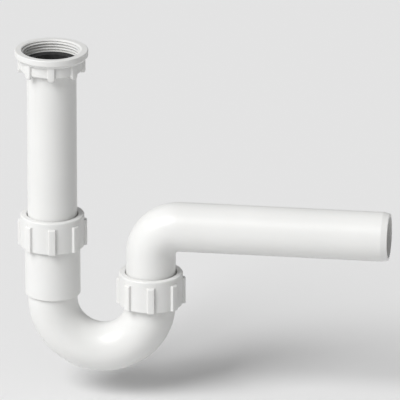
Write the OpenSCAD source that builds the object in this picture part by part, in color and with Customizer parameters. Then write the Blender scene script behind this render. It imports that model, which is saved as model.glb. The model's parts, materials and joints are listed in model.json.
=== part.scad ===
// P trap for a wash basin: an inlet union nut on a telescopic inlet tube, a U-bend that holds the
// water seal, and an outlet elbow with a long arm. Two slip nuts press wedge gaskets onto the tubes.
// The origin is the centre of the inlet nut's mouth, +Z is up, and +X points along the outlet arm.

/* [Tubes] */
// Outside diameter of every tube
tube_d = 40; // [38:0.5:40]
// Wall thickness of the tubes
tube_wall = 3.5; // [2:0.1:4]
// Length of the lead-in taper on the end of a tube
taper_len = 5; // [3:0.5:8]
// Height of that taper, measured inwards from the outside of the tube
taper_in = 1.1; // [0.5:0.1:1.5]

/* [Layout] */
// Height of the inlet mouth above the centre plane of the U-bend
inlet_height = 212; // [190:1:300]
// Centreline radius of the U-bend, which is half the distance between its legs
bend_r = 40; // [40:1:60]
// Height of the outlet arm's axis above the centre plane of the U-bend
arm_height = 66; // [66:1:90]
// Distance from the axis of the outlet leg to the end of the arm
arm_reach = 193; // [100:1:300]
// Centreline radius of the outlet elbow
elbow_r = 24; // [22:1:30]

/* [Threads] */
// Major diameter of the pipe thread on the nuts and collars, G 1 1/2
thread_major_d = 47.8; // [47.4:0.1:48]
// Minor diameter of that thread
thread_minor_d = 44.8; // [44.6:0.1:45]

/* [Slip nuts] */
// Outside diameter of the nut between its ribs
nut_d = 51.6; // [51:0.1:54]
// Height of the nut
nut_h = 26.5; // [25:0.5:30]
// Thickness of the nut's lid, which the tube passes through
lid_t = 3; // [2:0.1:4]
// How far the grip ribs start below the top of the nut
rib_drop = 5; // [3:0.5:8]
// Width of a grip rib
rib_w = 5.6; // [4:0.1:8]
// Height of a grip rib, measured outwards
rib_out = 2.15; // [1:0.05:3]
// Radial clearance of the nut's lid round the tube
lid_gap = 0.7; // [0.2:0.1:1.2]
// Angle that the nuts are turned to, from the outlet arm to a rib
nut_turn = 8; // [0:1:44]

/* [Inlet nut] */
// Diameter of the rim round the mouth
rim_d = 59; // [58:0.5:62]
// Height of the rim's upright edge
rim_h = 4.6; // [3:0.1:5]
// Outside diameter of the nut between its ribs
inlet_nut_d = 50.6; // [50:0.1:52]
// Height of the nut between its ribs
inlet_nut_h = 16.4; // [16:0.1:20]
// How far the grip ribs reach below that
inlet_rib_drop = 3; // [0:0.1:3]
// Thickness of the lip that pulls up the inlet tube's flange
lip_t = 2.5; // [2:0.1:4]

/* [Seals] */
// Thickness of the flange on top of the inlet tube
flange_t = 2; // [1.5:0.1:3]
// Thickness of the rubber washer on that flange
washer_t = 2.5; // [2:0.1:3]
// How far the washer's skirt reaches down into the inlet tube
skirt_h = 4; // [1:0.1:6]
// Thickness of that skirt
skirt_t = 1.2; // [0.8:0.1:1.5]
// Thickness of the slip rings
ring_t = 2; // [1:0.1:3]
// Thickness of a wedge gasket's head
gasket_head_t = 2.2; // [1.5:0.1:2.5]
// How far a wedge gasket reaches into the collar
gasket_reach = 4; // [3:0.1:5]

/* [Sockets] */
// Height of the open end of slip nut A above the centre plane of the U-bend
nut_a_height = 46; // [40:1:50]
// Height of the stop inside the inlet socket above that plane
inlet_stop = 8; // [8:0.5:12]
// Height of the inlet tube's lower end above that plane
tube_end = 20; // [19:0.5:30]
// Height of the stop inside the outlet collar above that plane
outlet_stop = 3; // [3:0.1:5]

/* [Hidden] */
$fn = 96;
tube_r = tube_d / 2;
bore_r = tube_r - tube_wall;

run_gap = 0.1;    // radial clearance of everything that turns or slides on a tube
seal_gap = 0.05;  // radial clearance of the gaskets on their tubes, before they are pressed
bore_gap = 0.3;   // radial clearance of a tube in its socket
wedge_gap = 0.2;  // radial clearance of a gasket in its seat, before it is pressed

thread_root_r = thread_minor_d / 2;
thread_mean_r = (thread_major_d + thread_minor_d) / 4;

nut_r = nut_d / 2;
nut_edge = 1.2;                       // rounding of a slip nut's top edge and the inlet nut's lower edge
nut_mouth = 0.9;                      // chamfer at a slip nut's threaded mouth
lid_z = nut_h - lid_t;                // underside of the lid, above the nut's open end
rib_n = 8;
rib_edge = 1;                         // bevel at the top of a slip nut's ribs
rib_root = 1;                         // how far a rib reaches into what it stands on
past = 1;                             // how far a cutter reaches past the face it opens

head_z = lid_z - ring_t - gasket_head_t;   // underside of the gasket's head
head_room = 0.8;                      // height between that head and the collar, before it is pressed
collar_top = head_z - head_room;      // mouth of a collar
collar_chamfer = 0.8;                 // chamfer at that mouth
thread_len = 15;                      // length of the thread on a collar
run_out = 1;                          // length over which that thread runs out
seat_depth = 6;                       // depth of the conical seat in a collar's mouth
seat_r = tube_r + 1.4;                // radius of that seat at the mouth
socket_r = tube_r + bore_gap;
seat_slope = (seat_r - socket_r) / seat_depth;
seal_r = tube_r + seal_gap;
head_r = thread_root_r - 0.5;         // outside of the gaskets' heads
ring_r = thread_root_r - 0.2;         // outside of the slip rings
flange_r = thread_root_r - 0.4;       // outside of the inlet flange and its washer

bend_z = -inlet_height;               // centre plane of the U-bend
arm_z = bend_z + arm_height;
nut_a_z = bend_z + nut_a_height;
nut_b_z = bend_z;
outlet_x = 2 * bend_r;                // axis of the outlet leg
step_height = 4.5;                    // lower end of the inlet socket, above the centre plane
step_edge = 1.5;                      // rounding of that end

flange_z = -inlet_nut_h + lip_t;      // underside of the inlet flange
washer_z = flange_z + flange_t;
mouth_thread_z = washer_z + washer_t; // lower end of the inlet thread
rim_slope = 2.6;                      // height of the slope under the rim
inlet_edge = 3;                       // rounding of the lower ends of the inlet nut's ribs
inlet_rib_wrap = 2.5;                 // how far those ends reach in under the nut
inlet_mouth = 0.4;                    // chamfer at the inlet nut's threaded mouth
inlet_rib_out = 1.9;                  // height of the inlet nut's ribs, measured outwards

// Points on an arc round c, from angle a0 to angle a1
function arc(c, r, a0, a1, n = 6) =
    [for (i = [0:n]) c + r * [cos(a0 + (a1 - a0) * i / n), sin(a0 + (a1 - a0) * i / n)]];

// Upper end of a threaded collar in (radius, height), from its thread to the bottom of its seat.
// z is the height of the open end of the nut that screws onto it.
function collar(z) = [
    [thread_root_r, z + collar_top - thread_len - run_out],
    [thread_mean_r - run_gap, z + collar_top - thread_len],
    [thread_mean_r - run_gap, z + collar_top - collar_chamfer],
    [thread_root_r, z + collar_top],
    [seat_r, z + collar_top],
    [socket_r, z + collar_top - seat_depth]
];

// A piece of tube or rod of radius r along a bend of centreline radius sweep_r in the XZ plane,
// from angle a0 above +X
module bent_rod(r, sweep_r, a0, span) {
    rotate([90, 0, 0]) rotate([0, 0, a0]) rotate_extrude(angle = span)
        translate([sweep_r, 0]) circle(r = r);
}

// Grip ribs round the Z axis: one outline in (radius, height), repeated
module ribs(outline) {
    for (i = [0:rib_n - 1])
        rotate([0, 0, nut_turn + i * 360 / rib_n]) rotate([90, 0, 0])
            translate([0, 0, -rib_w / 2]) linear_extrude(rib_w) polygon(outline);
}

// Slip nut with its open end down at z = 0. Its thread is a smooth bore at the mean diameter.
module slip_nut() {
    rib_r = nut_r + rib_out;
    rib_top = nut_h - rib_drop;
    color("white") difference() {
        union() {
            rotate_extrude() polygon(concat(
                [[0, nut_h], [0, 0], [nut_r, 0]],
                arc([nut_r - nut_edge, nut_h - nut_edge], nut_edge, 0, 90)));
            ribs([[nut_r - rib_root, 0], [rib_r, 0], [rib_r, rib_top - rib_edge],
                  [rib_r - rib_edge, rib_top], [nut_r - rib_root, rib_top]]);
        }
        rotate_extrude() polygon([
            [0, -past], [thread_mean_r + nut_mouth + past, -past], [thread_mean_r, nut_mouth],
            [thread_mean_r, lid_z], [tube_r + lid_gap, lid_z], [tube_r + lid_gap, nut_h + past],
            [0, nut_h + past]]);
    }
}

// Thrust ring that fills the top of the slip nut, whose open end is at z = 0
module slip_ring() {
    color("gainsboro") rotate_extrude() polygon([
        [tube_r + run_gap, lid_z - ring_t], [ring_r, lid_z - ring_t],
        [ring_r, lid_z], [tube_r + run_gap, lid_z]]);
}

// Rubber wedge gasket under the slip ring: a flat head, and a cone that goes into the collar's seat
module cone_gasket() {
    cone_tip = collar_top - gasket_reach;
    cone_r = seat_r - wedge_gap;
    color("dimgray") rotate_extrude() polygon([
        [seal_r, cone_tip],
        [cone_r - gasket_reach * seat_slope, cone_tip],
        [cone_r, collar_top],
        [cone_r, head_z],
        [head_r, head_z],
        [head_r, head_z + gasket_head_t],
        [seal_r, head_z + gasket_head_t]]);
}

// Union nut that screws onto the basin waste. Its thread is a smooth bore at the mean diameter.
module inlet_nut() {
    rim_r = rim_d / 2;
    body_r = inlet_nut_d / 2;
    rib_r = body_r + inlet_rib_out;
    low = -inlet_nut_h;
    rib_low = low - inlet_rib_drop;
    rim_low = -rim_h - rim_slope;
    rim_edge = 0.8;
    color("white") difference() {
        union() {
            rotate_extrude() polygon(concat(
                [[0, 0], [0, low]],
                arc([body_r - nut_edge, low + nut_edge], nut_edge, -90, 0),
                [[body_r, rim_low], [rib_r, rim_low], [rim_r, -rim_h]],
                arc([rim_r - rim_edge, -rim_edge], rim_edge, 0, 90)));
            ribs(concat(
                [[body_r - inlet_rib_wrap, rim_low + rib_root], [body_r - inlet_rib_wrap, rib_low]],
                arc([rib_r - inlet_edge, rib_low + inlet_edge], inlet_edge, -90, 0),
                [[rib_r, rim_low + rib_root]]));
        }
        rotate_extrude() polygon([
            [0, past], [thread_mean_r + inlet_mouth + past, past], [thread_mean_r, -inlet_mouth],
            [thread_mean_r, mouth_thread_z], [flange_r + bore_gap, mouth_thread_z],
            [flange_r + bore_gap, flange_z], [tube_r + bore_gap, flange_z],
            [tube_r + bore_gap, low - past], [0, low - past]]);
    }
}

// Rubber washer between the basin waste and the inlet tube's flange, with a skirt inside the tube
module inlet_washer() {
    skirt_r = bore_r - seal_gap;
    hole_r = skirt_r - skirt_t;
    color("dimgray") rotate_extrude() polygon([
        [hole_r, washer_z - skirt_h], [skirt_r, washer_z - skirt_h],
        [skirt_r, washer_z], [flange_r, washer_z],
        [flange_r, washer_z + washer_t], [hole_r, washer_z + washer_t]]);
}

// Inlet tube: the flange hangs in the inlet nut, and the lower end slides in the U-bend's socket
module inlet_tube() {
    low = bend_z + tube_end;
    color("white") rotate_extrude() polygon([
        [bore_r, washer_z], [flange_r, washer_z], [flange_r, flange_z], [tube_r, flange_z],
        [tube_r, low + taper_len], [tube_r - taper_in, low], [bore_r, low]]);
}

module slip_nut_a() {
    translate([0, 0, nut_a_z]) slip_nut();
}

module slip_ring_a() {
    translate([0, 0, nut_a_z]) slip_ring();
}

module cone_gasket_a() {
    translate([0, 0, nut_a_z]) cone_gasket();
}

// U-bend with a long socket on the inlet side and a short collar on the outlet side
module u_bend() {
    low = bend_z + step_height;
    color("white") union() {
        difference() {
            translate([bend_r, 0, bend_z]) bent_rod(tube_r, bend_r, 180, 180);
            translate([bend_r, 0, bend_z]) bent_rod(bore_r, bend_r, 180, 180);
        }
        rotate_extrude() polygon(concat(
            [[bore_r, bend_z], [tube_r, bend_z], [tube_r, low]],
            arc([thread_root_r - step_edge, low + step_edge], step_edge, -90, 0),
            collar(nut_a_z),
            [[socket_r, bend_z + inlet_stop], [bore_r, bend_z + inlet_stop]]));
        translate([outlet_x, 0, 0]) rotate_extrude() polygon(concat(
            [[bore_r, bend_z], [tube_r, bend_z]],
            collar(nut_b_z),
            [[socket_r, bend_z + outlet_stop], [bore_r, bend_z + outlet_stop]]));
    }
}

module slip_nut_b() {
    translate([outlet_x, 0, nut_b_z]) slip_nut();
}

module slip_ring_b() {
    translate([outlet_x, 0, nut_b_z]) slip_ring();
}

module cone_gasket_b() {
    translate([outlet_x, 0, nut_b_z]) cone_gasket();
}

// Elbow and outlet arm in one piece, standing on the stop in the outlet collar
module outlet_elbow() {
    low = bend_z + outlet_stop;
    bend_low = arm_z - elbow_r;
    leg_taper = 3;
    arm_len = arm_reach - elbow_r;
    color("white") union() {
        translate([outlet_x, 0, 0]) rotate_extrude() polygon([
            [bore_r, low], [tube_r - taper_in, low], [tube_r, low + leg_taper],
            [tube_r, bend_low], [bore_r, bend_low]]);
        translate([outlet_x + elbow_r, 0, bend_low]) difference() {
            bent_rod(tube_r, elbow_r, 90, 90);
            bent_rod(bore_r, elbow_r, 90, 90);
        }
        translate([outlet_x + elbow_r, 0, arm_z]) rotate([0, 90, 0]) rotate_extrude() polygon([
            [bore_r, 0], [tube_r, 0], [tube_r, arm_len - taper_len],
            [tube_r - taper_in, arm_len], [bore_r, arm_len]]);
    }
}

inlet_nut();
inlet_washer();
inlet_tube();
slip_nut_a();
slip_ring_a();
cone_gasket_a();
u_bend();
slip_nut_b();
slip_ring_b();
cone_gasket_b();
outlet_elbow();
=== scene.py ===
"""Looks of a white plastic P trap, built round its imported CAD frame.

Every piece is a closed surface made from one outline: a lathed piece turns it round an upright axis,
and a tube carries it along a bent path. Lengths are in millimetres until a mesh is made.
"""

import json
import math

import bpy
import numpy as np
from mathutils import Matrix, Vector


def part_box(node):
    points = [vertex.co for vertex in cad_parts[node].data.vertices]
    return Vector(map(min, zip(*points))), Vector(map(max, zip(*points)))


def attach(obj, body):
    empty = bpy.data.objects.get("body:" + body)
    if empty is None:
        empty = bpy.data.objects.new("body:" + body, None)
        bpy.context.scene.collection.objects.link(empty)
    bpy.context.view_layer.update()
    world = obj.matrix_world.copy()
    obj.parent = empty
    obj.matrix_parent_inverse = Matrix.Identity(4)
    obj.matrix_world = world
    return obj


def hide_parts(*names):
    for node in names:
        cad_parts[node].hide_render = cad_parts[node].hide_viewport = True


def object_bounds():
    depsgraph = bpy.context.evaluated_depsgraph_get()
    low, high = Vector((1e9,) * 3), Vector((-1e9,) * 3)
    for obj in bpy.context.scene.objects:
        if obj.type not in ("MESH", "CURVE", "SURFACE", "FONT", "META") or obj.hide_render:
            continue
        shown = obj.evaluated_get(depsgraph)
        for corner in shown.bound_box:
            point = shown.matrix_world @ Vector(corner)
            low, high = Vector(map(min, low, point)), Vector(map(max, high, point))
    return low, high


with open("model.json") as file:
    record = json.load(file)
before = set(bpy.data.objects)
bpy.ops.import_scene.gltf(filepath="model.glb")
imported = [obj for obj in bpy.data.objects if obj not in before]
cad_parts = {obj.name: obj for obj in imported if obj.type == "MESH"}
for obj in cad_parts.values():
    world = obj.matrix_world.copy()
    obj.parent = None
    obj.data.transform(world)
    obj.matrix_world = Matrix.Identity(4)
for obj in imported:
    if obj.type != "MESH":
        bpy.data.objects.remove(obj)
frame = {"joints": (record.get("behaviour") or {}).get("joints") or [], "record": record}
cad_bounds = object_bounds()

MM = 0.001
MOUNTS = {m["name"]: m for m in frame["record"]["mounts"]}


def box_mm(node):
    """Lowest and highest corner of a CAD node, in millimetres."""
    low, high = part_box(node)
    return low / MM, high / MM


# --- Sizes taken from the frame -------------------------------------------------------------

SPIGOT = MOUNTS["outlet_spigot"]
TUBE_R = SPIGOT["dims"]["r_mm"]
ARM_Z = SPIGOT["pos_m"][2] / MM
THREAD_R = MOUNTS["inlet_thread"]["dims"]["r_mm"]

NUT_LOW, NUT_HIGH = box_mm("slip_nut_a")
NUT_B_LOW, NUT_B_HIGH = box_mm("slip_nut_b")
BEND_LOW, BEND_HIGH = box_mm("u_bend")
ELBOW_LOW, ELBOW_HIGH = box_mm("outlet_elbow")
INLET_LOW, INLET_HIGH = box_mm("inlet_nut")
PIPE_LOW, PIPE_HIGH = box_mm("inlet_tube")
WASHER_LOW, WASHER_HIGH = box_mm("inlet_washer")
RING_LOW, RING_HIGH = box_mm("slip_ring_a")
GASKET_LOW, GASKET_HIGH = box_mm("cone_gasket_a")

OUTLET_X = (NUT_B_LOW.x + NUT_B_HIGH.x) / 2
BEND_R = OUTLET_X / 2
BEND_Z = BEND_LOW.z + BEND_R + TUBE_R
NUT_H = NUT_HIGH.z - NUT_LOW.z
COLLAR_TOP = BEND_HIGH.z - NUT_LOW.z
RIM_R = INLET_HIGH.x
INLET_H = INLET_HIGH.z - INLET_LOW.z
FLANGE_R = PIPE_HIGH.x
RING_R = RING_HIGH.x
HEAD_R = GASKET_HIGH.x

# --- Sizes of the mouldings -----------------------------------------------------------------

WALL = 3.5
BORE_R = TUBE_R - WALL
RUN_GAP = 0.1  # radial clearance of what turns or slides on a tube
SEAL_GAP = 0.05  # radial clearance of rubber, before it is pressed
FACE_GAP = 0.02  # height between two level faces that would meet
HAIR = 0.01  # tolerance when points of an outline are picked by their place

NUT_R = 25.8
RIB_R = NUT_R + 2.15
RIB_W = 5.6
RIB_DROP = 5.0
RIB_COUNT = 8
NUT_TURN = math.radians(8)
LID_T = 3.0
LID_GAP = 0.7

INLET_GAP = 0.3
LIP_T = 2.5
INLET_NUT_R = 25.3
INLET_RIB_R = 27.2
INLET_RIB_DROP = 3.0
INLET_RIB_WRAP = 2.5
INLET_EDGE = 1.2
INLET_RIB_EDGE = 3.0
RIM_H = 4.6
RIM_SLOPE = 2.6
FLANGE_T = 2.0

SEAT_R = 21.4
SEAT_DEPTH = 6.0
SOCKET_R = 20.3
SOCKET_OUT_R = 22.4
STEP_HEIGHT = 4.5
INLET_STOP = 8.0
OUTLET_STOP = 3.0
ELBOW_R = 24.0
TAPER_LEN = 5.0
TAPER_IN = 1.1

GASKET_REACH = 4.0
GASKET_HEAD_T = 2.2
SKIRT_T = 1.2

PITCH = 2.309
THREAD_DEPTH = 1.45
THREAD_STEP = PITCH / 12
MALE_THREAD_LEN = 16.0
MALE_MEAN = THREAD_R - RUN_GAP
FEMALE_MEAN = THREAD_R + RUN_GAP
MALE_ROOT = MALE_MEAN - THREAD_DEPTH / 2
FEMALE_ROOT = FEMALE_MEAN + THREAD_DEPTH / 2
COLLAR_R = MALE_ROOT - 0.1  # a collar's chamfered mouth
MOUTH_R = FEMALE_ROOT + 0.35  # a nut's chamfered mouth

SEAM_HEIGHT = 0.10
SEAM_WIDTH = 0.28

TUBE_COLUMNS = 120
LATHE_COLUMNS = 144
CORNER_SEGMENTS = 5
BEND_STEP = math.radians(3)


# --- Outlines -------------------------------------------------------------------------------


def smoothstep(x):
    """Smooth rise from 0 at x = 0 to 1 at x = 1."""
    x = np.clip(x, 0.0, 1.0)
    return x * x * (3 - 2 * x)


def rounded(corners):
    """Closed outline with every corner rounded. A corner is (a, b, rounding radius).

    Each corner gives the same number of points, so two outlines with the same corners can be mixed.
    """
    most_room = 0.45
    nearly_straight = math.radians(88)
    points = np.array([c[:2] for c in corners], float)
    outline = []
    for i, corner in enumerate(points):
        radius = corners[i][2]
        back, ahead = points[i - 1] - corner, points[(i + 1) % len(points)] - corner
        back_len, ahead_len = np.linalg.norm(back), np.linalg.norm(ahead)
        back, ahead = back / back_len, ahead / ahead_len
        half = math.acos(float(np.clip(back @ ahead, -1, 1))) / 2
        room = most_room * min(back_len, ahead_len)
        if half > nearly_straight:
            reach = min(radius, room)
            spread = np.linspace(-reach, reach, CORNER_SEGMENTS + 1)
            outline += [corner + (ahead * t if t > 0 else back * -t) for t in spread]
            continue
        reach = min(radius / math.tan(half), room)
        radius = reach * math.tan(half)
        middle = (back + ahead) / np.linalg.norm(back + ahead)
        centre = corner + middle * radius / math.sin(half)
        start, end = corner + back * reach - centre, corner + ahead * reach - centre
        turn = math.pi - 2 * half
        for t in np.linspace(0, 1, CORNER_SEGMENTS + 1):
            a, b = math.sin((1 - t) * turn), math.sin(t * turn)
            outline.append(centre + (start * a + end * b) / math.sin(turn))
    return np.array(outline)


def stations_between(outline, spans):
    """Closed outline with more points on the stretches that lie in a span.

    A span is (from, to, step) along the outline's first coordinate.
    """
    hair = 1e-3
    dense = []
    for i, start in enumerate(outline):
        end = outline[(i + 1) % len(outline)]
        dense.append(start)
        low, high = sorted((start[0], end[0]))
        inner = []
        for span_from, span_to, step in spans:
            first, last = max(low, span_from), min(high, span_to)
            if last - first > step:
                inner += list(np.linspace(first, last, int((last - first) / step) + 1))
        inner = sorted(v for v in set(inner) if low + hair < v < high - hair)
        if end[0] < start[0]:
            inner = inner[::-1]
        for value in inner:
            share = (value - start[0]) / (end[0] - start[0])
            dense.append(start + share * (end - start))
    return np.array(dense)


def round_columns(count):
    """Angles round a tube, evenly spaced, with more of them beside the two mould seams."""
    beside = np.radians([0.35, 0.7, 1.1, 1.6])
    seam = np.concatenate([-beside, beside])
    even = np.linspace(0, 2 * math.pi, count, endpoint=False)
    return np.unique(np.round(np.concatenate([even, seam % (2 * math.pi), math.pi + seam]), 6))


def rib_columns(radius):
    """Angles round a ribbed nut, and how far each one is up a rib and across it.

    Up it is 0 between the ribs and 1 on one. Across it is 0 at a rib's middle and 1 past its flanks.
    """
    flank = 0.5
    top_columns, flank_columns, gap_columns = 6, 9, 8
    side = RIB_W / 2
    offsets = np.concatenate([
        np.linspace(0, side - flank, top_columns, endpoint=False),
        np.linspace(side - flank, side + flank, flank_columns),
    ])
    sector = 2 * math.pi / RIB_COUNT
    angles = np.arcsin(offsets / radius)
    share = 1 - smoothstep((offsets - side + flank) / (2 * flank))
    gap = np.linspace(angles[-1], sector - angles[-1], gap_columns + 2)[1:-1]
    one = np.concatenate([angles, gap, sector - angles[:0:-1]])
    height = np.concatenate([share, np.zeros(len(gap)), share[:0:-1]])
    off = np.minimum(offsets / side, 1)
    across = np.concatenate([off, np.ones(len(gap)), off[:0:-1]])
    return (
        np.concatenate([one + sector * i + NUT_TURN for i in range(RIB_COUNT)]),
        np.tile(height, RIB_COUNT),
        np.tile(across, RIB_COUNT),
    )


# --- Threads --------------------------------------------------------------------------------


def thread_wave(z, azimuth):
    """Right-hand pipe thread: 1 on a crest of the outside thread, -1 in its root."""
    steepness = 1.12
    phase = z / PITCH - azimuth / (2 * math.pi)
    tri = 4 * np.abs(phase - np.floor(phase) - 0.5) - 1
    tri = np.clip(steepness * tri, -1, 1)
    return 1.5 * tri - 0.5 * tri**3


def outside_thread(z, azimuth, low, high):
    """Radius of a collar's thread that runs out at low and is chamfered at its mouth, high."""
    run_out_len = 0.6 * PITCH
    run_out = smoothstep((z - low) / run_out_len)
    full = MALE_MEAN + THREAD_DEPTH / 2 * thread_wave(z, azimuth)
    chamfer = COLLAR_R + (high - z)
    return np.minimum(MALE_ROOT + run_out * (full - MALE_ROOT), np.maximum(chamfer, COLLAR_R))


def inside_thread(z, azimuth, mouth, deep):
    """Radius of a nut's thread, chamfered at its mouth, which may be above or below its deep end."""
    run_out_len = 0.5 * PITCH
    run_out = smoothstep(np.abs(deep - z) / run_out_len)
    full = FEMALE_MEAN + THREAD_DEPTH / 2 * thread_wave(z, azimuth)
    chamfer = MOUTH_R - np.abs(z - mouth)
    return np.maximum(FEMALE_ROOT - run_out * (FEMALE_ROOT - full), chamfer)


# --- Surfaces -------------------------------------------------------------------------------


def closed_surface(name, points):
    """Mesh object from points[station, column, xyz] in millimetres, closed both ways."""
    rows, columns = points.shape[:2]
    mesh = bpy.data.meshes.new(name)
    index = np.arange(rows * columns).reshape(rows, columns)
    ahead = np.roll(index, -1, axis=0)
    quads = np.stack(
        [index, np.roll(index, -1, axis=1), np.roll(ahead, -1, axis=1), ahead], axis=-1
    ).reshape(-1, 4)
    flat = points.reshape(-1, 3) * MM
    first, second, third = flat[quads[:, 0]], flat[quads[:, 1]], flat[quads[:, 2]]
    volume = np.einsum("ij,ij->i", first, np.cross(second, third)).sum()
    fourth = flat[quads[:, 3]]
    volume += np.einsum("ij,ij->i", first, np.cross(third, fourth)).sum()
    if volume < 0:
        quads = quads[:, ::-1]
    mesh.vertices.add(len(flat))
    mesh.vertices.foreach_set("co", flat.ravel())
    mesh.loops.add(quads.size)
    mesh.loops.foreach_set("vertex_index", quads.ravel())
    mesh.polygons.add(len(quads))
    mesh.polygons.foreach_set("loop_start", np.arange(0, quads.size, 4))
    mesh.polygons.foreach_set("use_smooth", np.ones(len(quads), bool))
    mesh.update(calc_edges=True)
    mesh.validate()
    piece = bpy.data.objects.new(name, mesh)
    bpy.context.scene.collection.objects.link(piece)
    normals = piece.modifiers.new("flat_faces_lead", "WEIGHTED_NORMAL")
    normals.weight = 80
    return piece


def lathe(name, radius, height, azimuth, axis_x=0.0):
    """Surface from radius[station, column] and height[station, column] round an upright axis."""
    x = axis_x + radius * np.cos(azimuth)
    y = radius * np.sin(azimuth)
    return closed_surface(name, np.stack([x, y, height], axis=-1))


def plain_lathe(name, corners, axis_x=0.0):
    """Surface of the outline with these (radius, height, rounding radius) corners, turned round."""
    outline = rounded(corners)
    azimuth = np.linspace(0, 2 * math.pi, LATHE_COLUMNS, endpoint=False)
    radius = np.repeat(outline[:, :1], LATHE_COLUMNS, axis=1)
    height = np.repeat(outline[:, 1:], LATHE_COLUMNS, axis=1)
    return lathe(name, radius, height, azimuth, axis_x)


def bent_path(start, heading, leg, radius, angle, turn, s):
    """Centre, heading and outward normal at distances s along a straight leg, a bend and a straight.

    All in the XZ plane. turn is 1 for a bend to the left and -1 for one to the right.
    """
    bend = np.clip(s - leg, 0, radius * angle) / radius
    course = heading + turn * bend
    straight = np.minimum(s, leg)
    after = np.maximum(s - leg - radius * angle, 0)
    side = heading + turn * math.pi / 2
    pivot = np.array([math.cos(side), math.sin(side)]) * radius
    first = np.array([math.cos(heading), math.sin(heading)])
    centre = np.array(start)[None] + straight[:, None] * first
    outward = np.stack([np.cos(course - turn * math.pi / 2), np.sin(course - turn * math.pi / 2)], -1)
    along = np.stack([np.cos(course), np.sin(course)], -1)
    centre = centre + pivot + radius * outward + after[:, None] * along
    return centre, outward


def tube_surface(name, centre, outward, radius, azimuth):
    """Surface of rings of radius[station, column] round a path in the XZ plane."""
    across = radius * np.cos(azimuth)
    x = centre[:, :1] + across * outward[:, :1]
    z = centre[:, 1:] + across * outward[:, 1:]
    return closed_surface(name, np.stack([x, radius * np.sin(azimuth), z], axis=-1))


def mould_seam(azimuth):
    """Height of the fine ridge that the two halves of a mould leave on the outside of a tube."""
    ridge = 0.0
    for centre in (0.0, math.pi):
        away = np.abs((azimuth - centre + math.pi) % (2 * math.pi) - math.pi) * TUBE_R
        ridge = ridge + SEAM_HEIGHT * np.clip(1 - away / SEAM_WIDTH, 0, 1)
    return ridge


# --- The pieces -----------------------------------------------------------------------------


def slip_nut(name, low, axis_x):
    """Ribbed slip nut with its threaded mouth down, at height low.

    Its ribs end in a bevel. Between them the bevel's corners lie one over another on the nut's side.
    """
    rib_top = NUT_H - RIB_DROP
    bevel_h, bevel_in = 0.9, 0.7
    spacing, above_rib = 0.12, 0.6
    lid_r = TUBE_R + LID_GAP
    lid_low = NUT_H - LID_T
    thread_top = 19.0

    def corners(r):
        share = (r - NUT_R) / (RIB_R - NUT_R)
        apart = spacing * (1 - share)
        bevel_r = NUT_R + share * (RIB_R - NUT_R - bevel_in)
        return [
            (MOUTH_R, 0, 0.15),
            (r, 0, 0.45),
            (r, rib_top - bevel_h, 0.3),
            (bevel_r, rib_top - apart, 0.25),
            (NUT_R, rib_top + apart, 0.2),
            (NUT_R, rib_top + above_rib, 0.2),
            (NUT_R, NUT_H, 1.2),
            (lid_r, NUT_H, 1.0),
            (lid_r, lid_low, 0.3),
            (FEMALE_ROOT, lid_low, 0.5),
            (FEMALE_ROOT, thread_top, 0.1),
        ]

    return ribbed_nut(name, corners, NUT_R, RIB_R, low, axis_x, 0.0, thread_top)


def ribbed_nut(name, corners, body_r, rib_r, low, axis_x, mouth, deep, end_curve=0.0):
    """Ribbed nut with a thread from the heights mouth to deep, which count from low.

    corners(radius) gives its outline between the ribs, at body_r, and on one, at rib_r. end_curve takes
    that share of a rib's extra length off its flanks, which rounds its end.
    """
    azimuth, share, across = rib_columns(body_r)
    body, rib = rounded(corners(body_r)), rounded(corners(rib_r))
    wall = thread_stations(body)
    body = np.concatenate([body, wall])
    rib = np.concatenate([rib, wall])
    radius = body[:, :1] + share[None] * (rib[:, :1] - body[:, :1])
    reach = share * (1 - end_curve * (1 - np.sqrt(1 - across**2)))
    height = body[:, 1:] + reach[None] * (rib[:, 1:] - body[:, 1:])
    threaded = np.zeros(len(body), bool)
    threaded[-len(wall):] = True
    radius[threaded] = inside_thread(height[threaded] + low, azimuth, mouth + low, deep + low)
    return lathe(name, radius, height + low, azimuth, axis_x)


def thread_stations(outline):
    """Points along a nut's thread, from the outline's last point to its first."""
    start, end = outline[-1][1], outline[0][1]
    count = int(abs(end - start) / THREAD_STEP)
    z = np.linspace(start, end, count + 2)[1:-1]
    return np.stack([np.full(len(z), FEMALE_ROOT), z], axis=-1)


def inlet_nut():
    """Union nut with a wide rim, its threaded mouth up at z = 0. Its ribs wrap round its lower edge."""
    low = -INLET_H + INLET_RIB_DROP
    flange_z = low + LIP_T
    thread_low = WASHER_HIGH.z
    lip_r = TUBE_R + INLET_GAP
    relief_r = FLANGE_R + INLET_GAP
    slope_z = -RIM_H - RIM_SLOPE
    side_top = slope_z - 0.4
    wrap_r = INLET_NUT_R - INLET_RIB_WRAP
    wrap_root_r = wrap_r - 0.2

    def corners(r):
        share = (r - INLET_NUT_R) / (INLET_RIB_R - INLET_NUT_R)
        rib_low = low - share * INLET_RIB_DROP
        edge = INLET_EDGE + share * (INLET_RIB_EDGE - INLET_EDGE)
        return [
            (MOUTH_R, 0, 0.3),
            (RIM_R, 0, 0.8),
            (RIM_R, -RIM_H, 0.9),
            (INLET_RIB_R, slope_z, 0.3),
            (r, side_top, 0.3),
            (r, rib_low, edge),
            (wrap_r, rib_low, 0.5),
            (wrap_root_r, low, 0.1),
            (lip_r, low, 0.4),
            (lip_r, flange_z, 0.3),
            (relief_r, flange_z, 0.2),
            (relief_r, thread_low, 0.1),
        ]

    return ribbed_nut(
        "inlet_union_nut", corners, INLET_NUT_R, INLET_RIB_R, 0.0, 0.0, 0.0, thread_low, end_curve=0.75
    )


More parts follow.
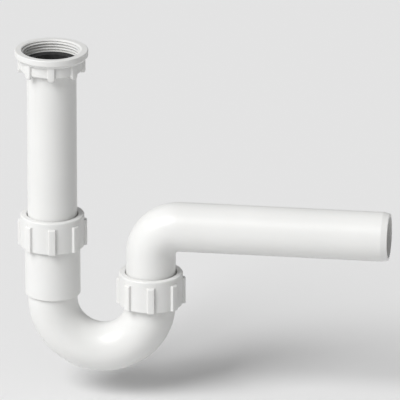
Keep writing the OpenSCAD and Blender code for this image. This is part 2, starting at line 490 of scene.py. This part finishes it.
def inlet_tube():
    """Straight tube with a flange on top and a lead-in taper at its lower end."""
    return plain_lathe("inlet_drop_tube", [
        (BORE_R, PIPE_HIGH.z, 0.4),
        (FLANGE_R, PIPE_HIGH.z, 0.4),
        (FLANGE_R, PIPE_HIGH.z - FLANGE_T, 0.4),
        (TUBE_R, PIPE_HIGH.z - FLANGE_T, 0.05),
        (TUBE_R, PIPE_LOW.z + TAPER_LEN, 0.8),
        (TUBE_R - TAPER_IN, PIPE_LOW.z, 0.5),
        (BORE_R, PIPE_LOW.z, 0.4),
    ])


def inlet_washer():
    """Washer with a skirt inside the tube. Two grooves in its upper face leave three sealing beads."""
    tip, low, top = WASHER_LOW.z, PIPE_HIGH.z + FACE_GAP, WASHER_HIGH.z
    # Painted shade: the skirt's black rubber lines the top of the bore, where the tube's white inside
    # would only be in shade.
    skirt_r = BORE_R - SEAL_GAP
    hole_r = skirt_r - SKIRT_T
    beads = 3
    bead = (FLANGE_R - hole_r) / beads
    groove, half_width = 0.5, 0.55
    corners = [
        (hole_r, tip, 0.3),
        (skirt_r, tip, 0.3),
        (skirt_r, low, 0.1),
        (FLANGE_R, low, 0.3),
        (FLANGE_R, top, 0.5),
    ]
    for i in range(beads - 1, 0, -1):
        middle = hole_r + i * bead
        corners += [
            (middle + half_width, top, 0.25),
            (middle, top - groove, 0.2),
            (middle - half_width, top, 0.25),
        ]
    corners.append((hole_r, top, 0.5))
    return plain_lathe("inlet_skirt_washer", corners)


def slip_ring(name, low, axis_x):
    """Flat thrust ring, a hair clear of the gasket below it and of the nut's lid above it."""
    base = low + RING_LOW.z - NUT_LOW.z + FACE_GAP
    top = low + RING_HIGH.z - NUT_LOW.z - FACE_GAP
    return plain_lathe(name, [
        (TUBE_R + RUN_GAP, base, 0.3),
        (RING_R, base, 0.3),
        (RING_R, top, 0.3),
        (TUBE_R + RUN_GAP, top, 0.3),
    ], axis_x)


def cone_gasket(name, low, axis_x):
    """Wedge gasket: a head under the slip ring, and a cone that reaches into the collar's seat."""
    top = low + GASKET_HIGH.z - NUT_LOW.z
    tip = low + GASKET_LOW.z - NUT_LOW.z
    head = top - GASKET_HEAD_T
    wedge_gap = 0.2
    cone_r = SEAT_R - wedge_gap
    slope = (SEAT_R - SOCKET_R) / SEAT_DEPTH
    seal_r = TUBE_R + SEAL_GAP
    return plain_lathe(name, [
        (seal_r, tip, 0.12),
        (cone_r - GASKET_REACH * slope, tip, 0.12),
        (cone_r, low + COLLAR_TOP, 0.3),
        (cone_r, head, 0.2),
        (HEAD_R, head, 0.4),
        (HEAD_R, top, 0.4),
        (seal_r, top, 0.4),
    ], axis_x)


def u_bend():
    """U-bend: a long socket and collar on the inlet side, and a short collar on the outlet side."""
    leg = BEND_HIGH.z - BEND_Z
    arc = math.pi * BEND_R
    end = leg + arc + COLLAR_TOP
    inlet_thread_end = MALE_THREAD_LEN
    outlet_thread_start = end - MALE_THREAD_LEN
    inlet_root, outlet_root = 0.5, 0.3
    outline = rounded([
        (0, SEAT_R, 0.2),
        (0, COLLAR_R, 0.2),
        (inlet_thread_end, COLLAR_R, 0.1),
        (inlet_thread_end + inlet_root, SOCKET_OUT_R, 0.3),
        (leg - STEP_HEIGHT, SOCKET_OUT_R, 1.5),
        (leg - STEP_HEIGHT, TUBE_R, 0.35),
        (leg + arc, TUBE_R, 0.8),
        (outlet_thread_start - outlet_root, SOCKET_OUT_R, 0.4),
        (outlet_thread_start, COLLAR_R, 0.1),
        (end, COLLAR_R, 0.2),
        (end, SEAT_R, 0.2),
        (end - SEAT_DEPTH, SOCKET_R, 0.4),
        (leg + arc + OUTLET_STOP, SOCKET_R, 0.3),
        (leg + arc + OUTLET_STOP, BORE_R, 0.5),
        (leg - INLET_STOP, BORE_R, 0.5),
        (leg - INLET_STOP, SOCKET_R, 0.3),
        (SEAT_DEPTH, SOCKET_R, 0.4),
    ])
    outline = stations_between(outline, [
        (leg, leg + arc, BEND_R * BEND_STEP),
        (0.0, inlet_thread_end, THREAD_STEP),
        (outlet_thread_start, end, THREAD_STEP),
    ])
    s, r = outline[:, 0], outline[:, 1]
    centre, outward = bent_path((0.0, BEND_HIGH.z), -math.pi / 2, leg, BEND_R, math.pi, 1, s)
    azimuth = round_columns(TUBE_COLUMNS)
    radius = np.repeat(r[:, None], len(azimuth), axis=1)
    height = centre[:, 1:]
    outer = r > COLLAR_R - HAIR
    inlet = outer & (s < inlet_thread_end + HAIR)
    outlet = outer & (s > outlet_thread_start - HAIR)
    inlet_top, outlet_top = BEND_HIGH.z, BEND_Z + COLLAR_TOP
    radius[inlet] = outside_thread(
        height[inlet], math.pi - azimuth, inlet_top - MALE_THREAD_LEN, inlet_top
    )
    radius[outlet] = outside_thread(height[outlet], azimuth, outlet_top - MALE_THREAD_LEN, outlet_top)
    seam_from = inlet_thread_end + 1.0
    seamed = (r > TUBE_R - HAIR) & (s > seam_from) & (s < leg + arc)
    seamed &= np.abs(r - SOCKET_R) > HAIR
    radius[seamed] += mould_seam(azimuth)
    return tube_surface("siphon_u_bend", centre, outward, radius, azimuth)


def outlet_elbow():
    """Elbow and arm in one moulding, with a lead-in taper at both ends."""
    low_taper_len = 3.0
    seam_below_bend = 8.0
    low = ELBOW_LOW.z + FACE_GAP
    leg = ARM_Z - ELBOW_R - low
    arc = ELBOW_R * math.pi / 2
    end = leg + arc + ELBOW_HIGH.x - OUTLET_X - ELBOW_R
    outline = rounded([
        (0, BORE_R, 0.4),
        (0, TUBE_R - TAPER_IN, 0.5),
        (low_taper_len, TUBE_R, 0.8),
        (end - TAPER_LEN, TUBE_R, 0.35),
        (end, TUBE_R - TAPER_IN, 0.35),
        (end, BORE_R, 0.35),
    ])
    outline = stations_between(outline, [(leg, leg + arc, ELBOW_R * BEND_STEP)])
    s, r = outline[:, 0], outline[:, 1]
    centre, outward = bent_path((OUTLET_X, low), math.pi / 2, leg, ELBOW_R, math.pi / 2, -1, s)
    azimuth = round_columns(TUBE_COLUMNS)
    radius = np.repeat(r[:, None], len(azimuth), axis=1)
    seamed = (r > TUBE_R - HAIR) & (s > leg - seam_below_bend) & (s < end - TAPER_LEN)
    radius[seamed] += mould_seam(azimuth)
    return tube_surface("outlet_elbow_arm", centre, outward, radius, azimuth)


# --- Materials ------------------------------------------------------------------------------


def shader(name, **sockets):
    """Material with a Principled shader whose even values are set on its own sockets."""
    material = bpy.data.materials.new(name)
    material.use_nodes = True
    tree = material.node_tree
    principled = tree.nodes["Principled BSDF"]
    for socket, value in sockets.items():
        principled.inputs[socket.replace("_", " ")].default_value = value
    return material, tree, principled


def noise(tree, scale, detail, roughness=0.5, grain=(1, 1, 1)):
    """Noise on the piece's own coordinates. A small number in grain draws it out along that axis."""
    coords = tree.nodes.new("ShaderNodeTexCoord")
    mapping = tree.nodes.new("ShaderNodeMapping")
    mapping.inputs["Scale"].default_value = grain
    tree.links.new(coords.outputs["Object"], mapping.inputs["Vector"])
    node = tree.nodes.new("ShaderNodeTexNoise")
    node.inputs["Scale"].default_value = scale
    node.inputs["Detail"].default_value = detail
    node.inputs["Roughness"].default_value = roughness
    tree.links.new(mapping.outputs["Vector"], node.inputs["Vector"])
    return node.outputs["Fac"]


def ramp(tree, factor, low, high, start=0.3, end=0.7):
    """Colour or number that goes from low to high as factor goes from start to end."""
    node = tree.nodes.new("ShaderNodeValToRGB")
    node.color_ramp.elements[0].position = start
    node.color_ramp.elements[1].position = end
    for element, value in zip(node.color_ramp.elements, (low, high)):
        grey = (value, value, value) if isinstance(value, float) else value
        element.color = (*grey, 1)
    tree.links.new(factor, node.inputs["Fac"])
    return node.outputs["Color"]


def mix(tree, kind, factor, first, second):
    """Blend from first to second. kind is RGBA or FLOAT, and second may be a plain value."""
    node = tree.nodes.new("ShaderNodeMix")
    node.data_type = kind
    sockets = [socket for socket in node.inputs if socket.enabled]
    tree.links.new(factor, sockets[0])
    tree.links.new(first, sockets[1])
    sockets[2].default_value = (*second, 1) if kind == "RGBA" else second
    return next(socket for socket in node.outputs if socket.enabled)


def bump(tree, principled, layers):
    """Fine relief: layers are (height, strength, distance in metres), one over another."""
    last = None
    for height, strength, distance in layers:
        node = tree.nodes.new("ShaderNodeBump")
        node.inputs["Strength"].default_value = strength
        node.inputs["Distance"].default_value = distance
        tree.links.new(height, node.inputs["Height"])
        if last is not None:
            tree.links.new(last, node.inputs["Normal"])
        last = node.outputs["Normal"]
    tree.links.new(last, principled.inputs["Normal"])


def moulded_plastic(name, low, high, gloss_low, gloss_high, grain=(1, 1, 1)):
    """Moulded polypropylene: slightly waxy, polished along its edges and dull in its corners, where its
    colour is also darkened as painted shade.

    Its colour wanders between low and high, and its roughness between gloss_low and gloss_high.
    """
    polished, dull = 0.22, 0.55
    painted_corner_shade = 0.88
    edge_from, edge_to = 0.51, 0.58
    corner_from, corner_to = 0.42, 0.49
    material, tree, principled = shader(
        name, Subsurface_Weight=0.12, Subsurface_Scale=0.004, IOR=1.49,
    )
    principled.inputs["Subsurface Radius"].default_value = (1.0, 0.95, 0.88)
    curvature = tree.nodes.new("ShaderNodeNewGeometry").outputs["Pointiness"]
    edge = ramp(tree, curvature, 0.0, 1.0, edge_from, edge_to)
    corner = ramp(tree, curvature, 1.0, 0.0, corner_from, corner_to)
    # Painted shade: the colour is darkened in concave corners and creases, where shade would fall.
    painted_shade_colour = tuple(painted_corner_shade * value for value in low)
    colour = ramp(tree, noise(tree, scale=22, detail=3), low, high)
    tree.links.new(mix(tree, "RGBA", corner, colour, painted_shade_colour), principled.inputs["Base Color"])
    marks = noise(tree, scale=160, detail=5, roughness=0.62, grain=grain)
    worn = mix(tree, "FLOAT", edge, ramp(tree, marks, gloss_low, gloss_high), polished)
    tree.links.new(mix(tree, "FLOAT", corner, worn, dull), principled.inputs["Roughness"])
    waves = noise(tree, scale=45, detail=1)
    fine = noise(tree, scale=1100, detail=3, grain=grain)
    bump(tree, principled, [(waves, 0.05, 0.00015), (fine, 0.12, 0.00003)])
    return material


def black_rubber():
    """EPDM rubber: nearly black, dull, with a fine pitted skin."""
    darkest, palest = (0.012, 0.012, 0.013), (0.030, 0.030, 0.031)
    smooth, rough = 0.55, 0.75
    material, tree, principled = shader("epdm_rubber", IOR=1.5, Specular_IOR_Level=0.4)
    colour = ramp(tree, noise(tree, scale=300, detail=4), darkest, palest)
    tree.links.new(colour, principled.inputs["Base Color"])
    dullness = ramp(tree, noise(tree, scale=500, detail=3), smooth, rough)
    tree.links.new(dullness, principled.inputs["Roughness"])
    bump(tree, principled, [(noise(tree, scale=1800, detail=3), 0.3, 0.00005)])
    return material


def floor_material():
    """Plain pale floor."""
    return shader("studio_floor", Roughness=0.9, Base_Color=(0.80, 0.80, 0.80, 1))[0]


# --- Assembly -------------------------------------------------------------------------------


def place(piece, body, node, material):
    """Lets a piece ride on its body and stand for its CAD node, in its own material."""
    piece.data.materials.append(material)
    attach(piece, body)
    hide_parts(node)


def build_trap():
    """All eleven pieces. The two straight tubes have their grain drawn out along them."""
    along = 0.04
    white = (0.765, 0.765, 0.752), (0.785, 0.785, 0.773), 0.30, 0.36
    nut_white = (0.755, 0.755, 0.742), (0.775, 0.775, 0.763), 0.33, 0.40
    grey = (0.52, 0.54, 0.54), (0.58, 0.60, 0.60), 0.40, 0.52
    upright = moulded_plastic("white_inlet_plastic", *white, grain=(1, 1, along))
    arm = moulded_plastic("white_arm_plastic", *white, grain=(along, 1, 1))
    bend = moulded_plastic("white_bend_plastic", *white)
    nut = moulded_plastic("white_nut_plastic", *nut_white)
    ring = moulded_plastic("grey_ring_plastic", *grey)
    rubber = black_rubber()
    place(inlet_nut(), "inlet_nut", "inlet_nut", nut)
    place(inlet_washer(), "inlet", "inlet_washer", rubber)
    place(inlet_tube(), "inlet", "inlet_tube", upright)
    place(u_bend(), "bend", "u_bend", bend)
    place(outlet_elbow(), "outlet", "outlet_elbow", arm)
    for mark, low, axis_x in (("a", NUT_LOW.z, 0.0), ("b", NUT_B_LOW.z, OUTLET_X)):
        lock = slip_nut(f"ribbed_slip_nut_{mark}", low, axis_x)
        thrust = slip_ring(f"thrust_ring_{mark}", low, axis_x)
        seal = cone_gasket(f"wedge_gasket_{mark}", low, axis_x)
        place(lock, f"nut_{mark}", f"slip_nut_{mark}", nut)
        place(thrust, f"ring_{mark}", f"slip_ring_{mark}", ring)
        place(seal, f"gasket_{mark}", f"cone_gasket_{mark}", rubber)


# --- Studio ---------------------------------------------------------------------------------


def aim(thing, target):
    """Turns a camera or light to look at a target."""
    thing.rotation_euler = (Vector(target) - thing.location).to_track_quat("-Z", "Y").to_euler()


def view_direction(azimuth, elevation):
    """Unit vector from the object to a viewer. Azimuth 0 looks along +Y, and turns towards +X."""
    a, e = math.radians(azimuth), math.radians(elevation)
    return Vector((math.sin(a) * math.cos(e), -math.cos(a) * math.cos(e), math.sin(e)))


def add_camera():
    """Far camera with a long lens, because the trap is seen without perspective."""
    lens = 800
    sensor = 36
    azimuth, elevation = 8, 20.3
    frame_width = 0.3208
    far_limit = 100
    target = Vector((0.1199, 0.0, -0.1222))
    data = bpy.data.cameras.new("camera")
    data.lens = lens
    data.sensor_width = sensor
    data.clip_end = far_limit
    camera = bpy.data.objects.new("camera", data)
    camera.location = target + view_direction(azimuth, elevation) * (frame_width * lens / sensor)
    aim(camera, target)
    bpy.context.scene.collection.objects.link(camera)
    bpy.context.scene.camera = camera


def add_sun(name, azimuth, elevation, softness, strength):
    """Sun that shines from a direction. softness is the angle across it, in degrees."""
    data = bpy.data.lights.new(name, "SUN")
    data.angle = math.radians(softness)
    data.energy = strength
    light = bpy.data.objects.new(name, data)
    light.location = view_direction(azimuth, elevation)
    aim(light, (0, 0, 0))
    bpy.context.scene.collection.objects.link(light)


def floor_height():
    """Just below the lowest place that the U-bend reaches as it slides down on the inlet tube."""
    slide = next(j for j in frame["joints"] if j["name"] == "inlet_height_slide")
    clearance = 0.001
    return cad_bounds[0][2] + min(slide["range_m"]) - clearance


def add_floor():
    """Level floor that reaches past the horizon of every view."""
    half = 40.0
    z = floor_height()
    mesh = bpy.data.meshes.new("floor")
    corners = [(-half, -half, z), (half, -half, z), (half, half, z), (-half, half, z)]
    mesh.from_pydata(corners, [], [(0, 1, 2, 3)])
    mesh.materials.append(floor_material())
    floor = bpy.data.objects.new("floor", mesh)
    bpy.context.scene.collection.objects.link(floor)


def map_range(tree, value, source, result):
    """Number that goes over the range result as value goes over the range source."""
    node = tree.nodes.new("ShaderNodeMapRange")
    node.inputs["From Min"].default_value, node.inputs["From Max"].default_value = source
    node.inputs["To Min"].default_value, node.inputs["To Max"].default_value = result
    tree.links.new(value, node.inputs["Value"])
    return node.outputs["Result"]


def set_world():
    """Soft sky, brighter overhead and on the left than on the right, so that forms show.

    Below the horizon it has the floor's own brightness, so that the floor has no far edge.
    """
    toward_light = (-0.6, -0.15, 0.5)
    slope_range = (-0.6, 0.7)
    sky_brightness = (0.0, 0.60)
    horizon = (-0.004, 0.0)
    floor_brightness = 0.74
    world = bpy.data.worlds.new("studio")
    bpy.context.scene.world = world
    world.use_nodes = True
    tree = world.node_tree
    background = tree.nodes["Background"]
    background.inputs["Color"].default_value = (1, 1, 1, 1)
    coords = tree.nodes.new("ShaderNodeTexCoord")
    slope = tree.nodes.new("ShaderNodeVectorMath")
    slope.operation = "DOT_PRODUCT"
    slope.inputs[1].default_value = toward_light
    tree.links.new(coords.outputs["Generated"], slope.inputs[0])
    sky = map_range(tree, slope.outputs["Value"], slope_range, sky_brightness)
    height = tree.nodes.new("ShaderNodeSeparateXYZ")
    tree.links.new(coords.outputs["Generated"], height.inputs[0])
    above = map_range(tree, height.outputs["Z"], horizon, (0.0, 1.0))
    blend = tree.nodes.new("ShaderNodeMix")
    blend.data_type = "FLOAT"
    blend.inputs["A"].default_value = floor_brightness
    tree.links.new(above, blend.inputs["Factor"])
    tree.links.new(sky, blend.inputs["B"])
    tree.links.new(blend.outputs["Result"], background.inputs["Strength"])


def build_studio():
    """Camera, soft light from the upper left, and floor."""
    add_camera()
    set_world()
    add_floor()
    add_sun("key", azimuth=-42, elevation=44, softness=34, strength=2.45)
    bpy.context.scene.view_settings.view_transform = "Standard"


build_trap()
build_studio()
